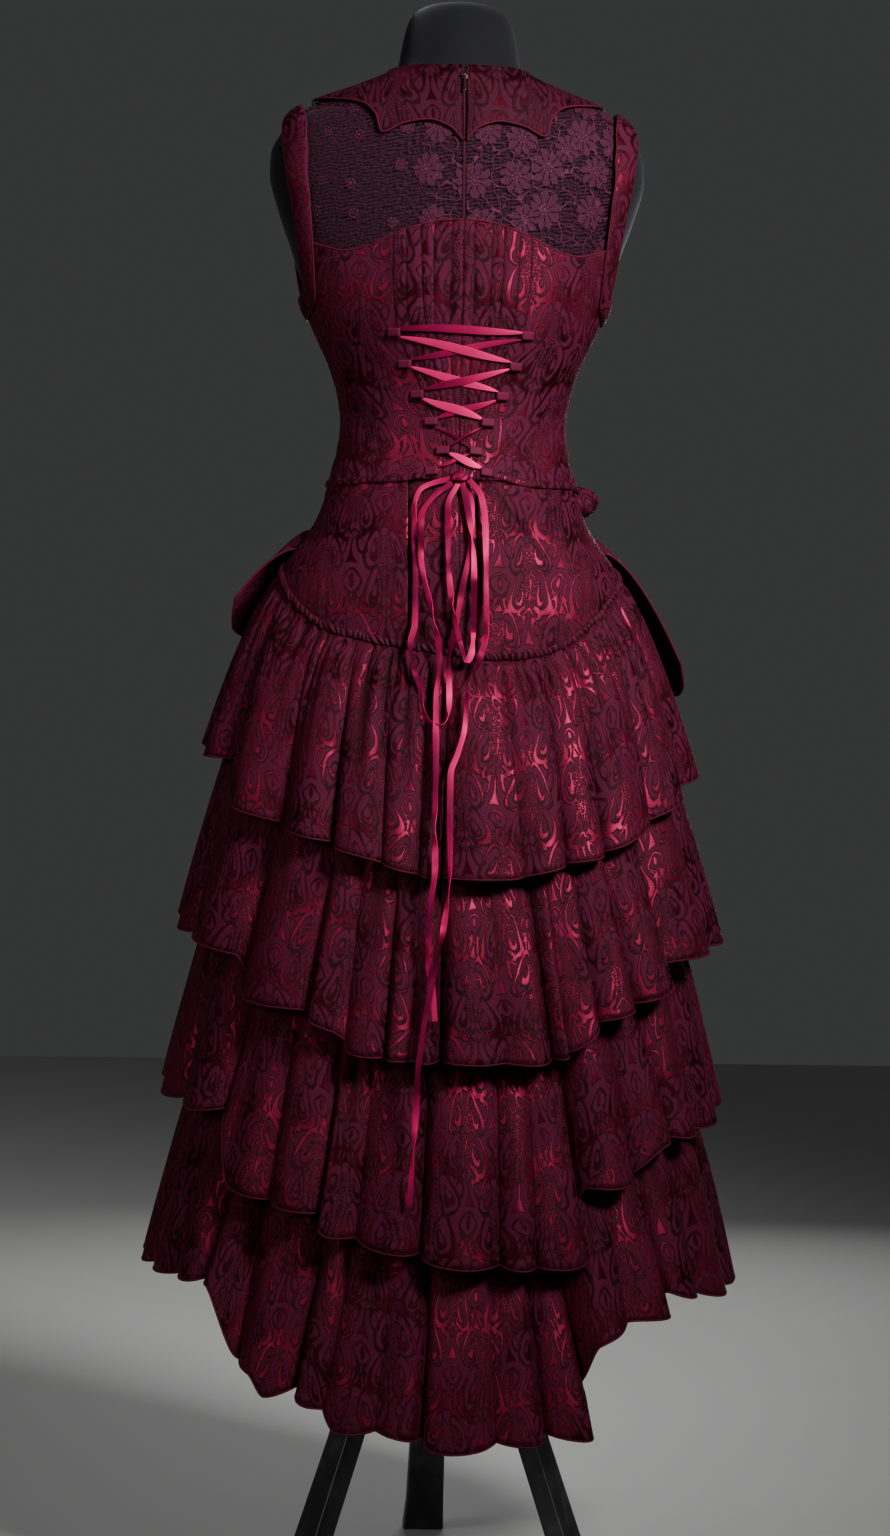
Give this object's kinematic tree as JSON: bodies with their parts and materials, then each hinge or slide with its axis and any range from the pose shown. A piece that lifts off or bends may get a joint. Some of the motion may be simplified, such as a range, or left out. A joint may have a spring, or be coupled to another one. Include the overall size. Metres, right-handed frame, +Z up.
{
  "type": "ruffled dress on a limbless dress form",
  "caption": "Sleeveless high-low gown of damask cloth with a lace yoke, collar, laced back, flared hip yoke and gathered ruffle tiers, standing on a limbless dress form with a tripod stand.",
  "frame": {"origin": "on the floor, under the middle of the part's box, on the axis of the stand's pole", "axes": "+Z up, the back of the gown faces -Y, the wearer's right side is +X"},
  "size_m": [0.5903, 0.5539, 1.5585],
  "materials": {
    "jacquard": "wine damask cloth, matt figure on a satin ground",
    "lace": "flower lace over a fine net",
    "ribbon": "satin ribbon",
    "velvet": "black velvet",
    "stand": "black paint, half matt",
    "zip_tape": "woven tape with closed coil teeth",
    "zip_metal": "nickel"
  },
  "bodies": {
    "gown_on_form": {"form_torso": "velvet", "stand_pole": "stand", "stand_hub": "stand", "stand_leg_1": "stand", "stand_leg_2": "stand", "stand_leg_3": "stand", "yoke_back_right": "lace", "yoke_back_left": "lace", "yoke_front": "lace", "collar_right": "jacquard", "collar_left": "jacquard", "armhole_band_right": "jacquard", "armhole_band_left": "jacquard", "bodice_back_centre_right": "jacquard", "bodice_back_centre_left": "jacquard", "bodice_back_side_right": "jacquard", "bodice_back_side_left": "jacquard", "bodice_front": "jacquard", "hip_yoke_centre_left": "jacquard", "hip_yoke_centre_right": "jacquard", "hip_yoke_side_left": "jacquard", "hip_yoke_side_right": "jacquard", "hip_yoke_front": "jacquard", "foundation_skirt": "jacquard", "ruched_heading": "jacquard", "ruffle_tier_1": "jacquard", "ruffle_tier_2": "jacquard", "ruffle_tier_3": "jacquard", "ruffle_tier_4": "jacquard", "front_peplum": "jacquard", "waist_tie_right": "jacquard", "waist_tie_left": "jacquard", "waist_rosette": "jacquard", "lacing_loop_right_1": "jacquard", "lacing_loop_right_2": "jacquard", "lacing_loop_right_3": "jacquard", "lacing_loop_right_4": "jacquard", "lacing_loop_right_5": "jacquard", "lacing_loop_right_6": "jacquard", "lacing_loop_left_1": "jacquard", "lacing_loop_left_2": "jacquard", "lacing_loop_left_3": "jacquard", "lacing_loop_left_4": "jacquard", "lacing_loop_left_5": "jacquard", "lacing_loop_left_6": "jacquard", "ribbon_bar": "ribbon", "ribbon_run_over": "ribbon", "ribbon_run_under": "ribbon", "ribbon_knot": "ribbon", "ribbon_bow_long": "ribbon", "ribbon_bow_short": "ribbon", "ribbon_tail_short": "ribbon", "ribbon_tail_long": "ribbon", "zip_tape": "zip_tape", "zip_slider": "zip_metal"},
    "pull_tab": {"zip_pull": "zip_metal"}
  },
  "joints": [
    {"name": "pull_tab_hinge", "type": "hinge", "parent": "gown_on_form", "child": "pull_tab", "pos_m": [0, -0.07615, 1.47516], "axis": [-1, 0, 0], "range_deg": [0, 150]}
  ]
}
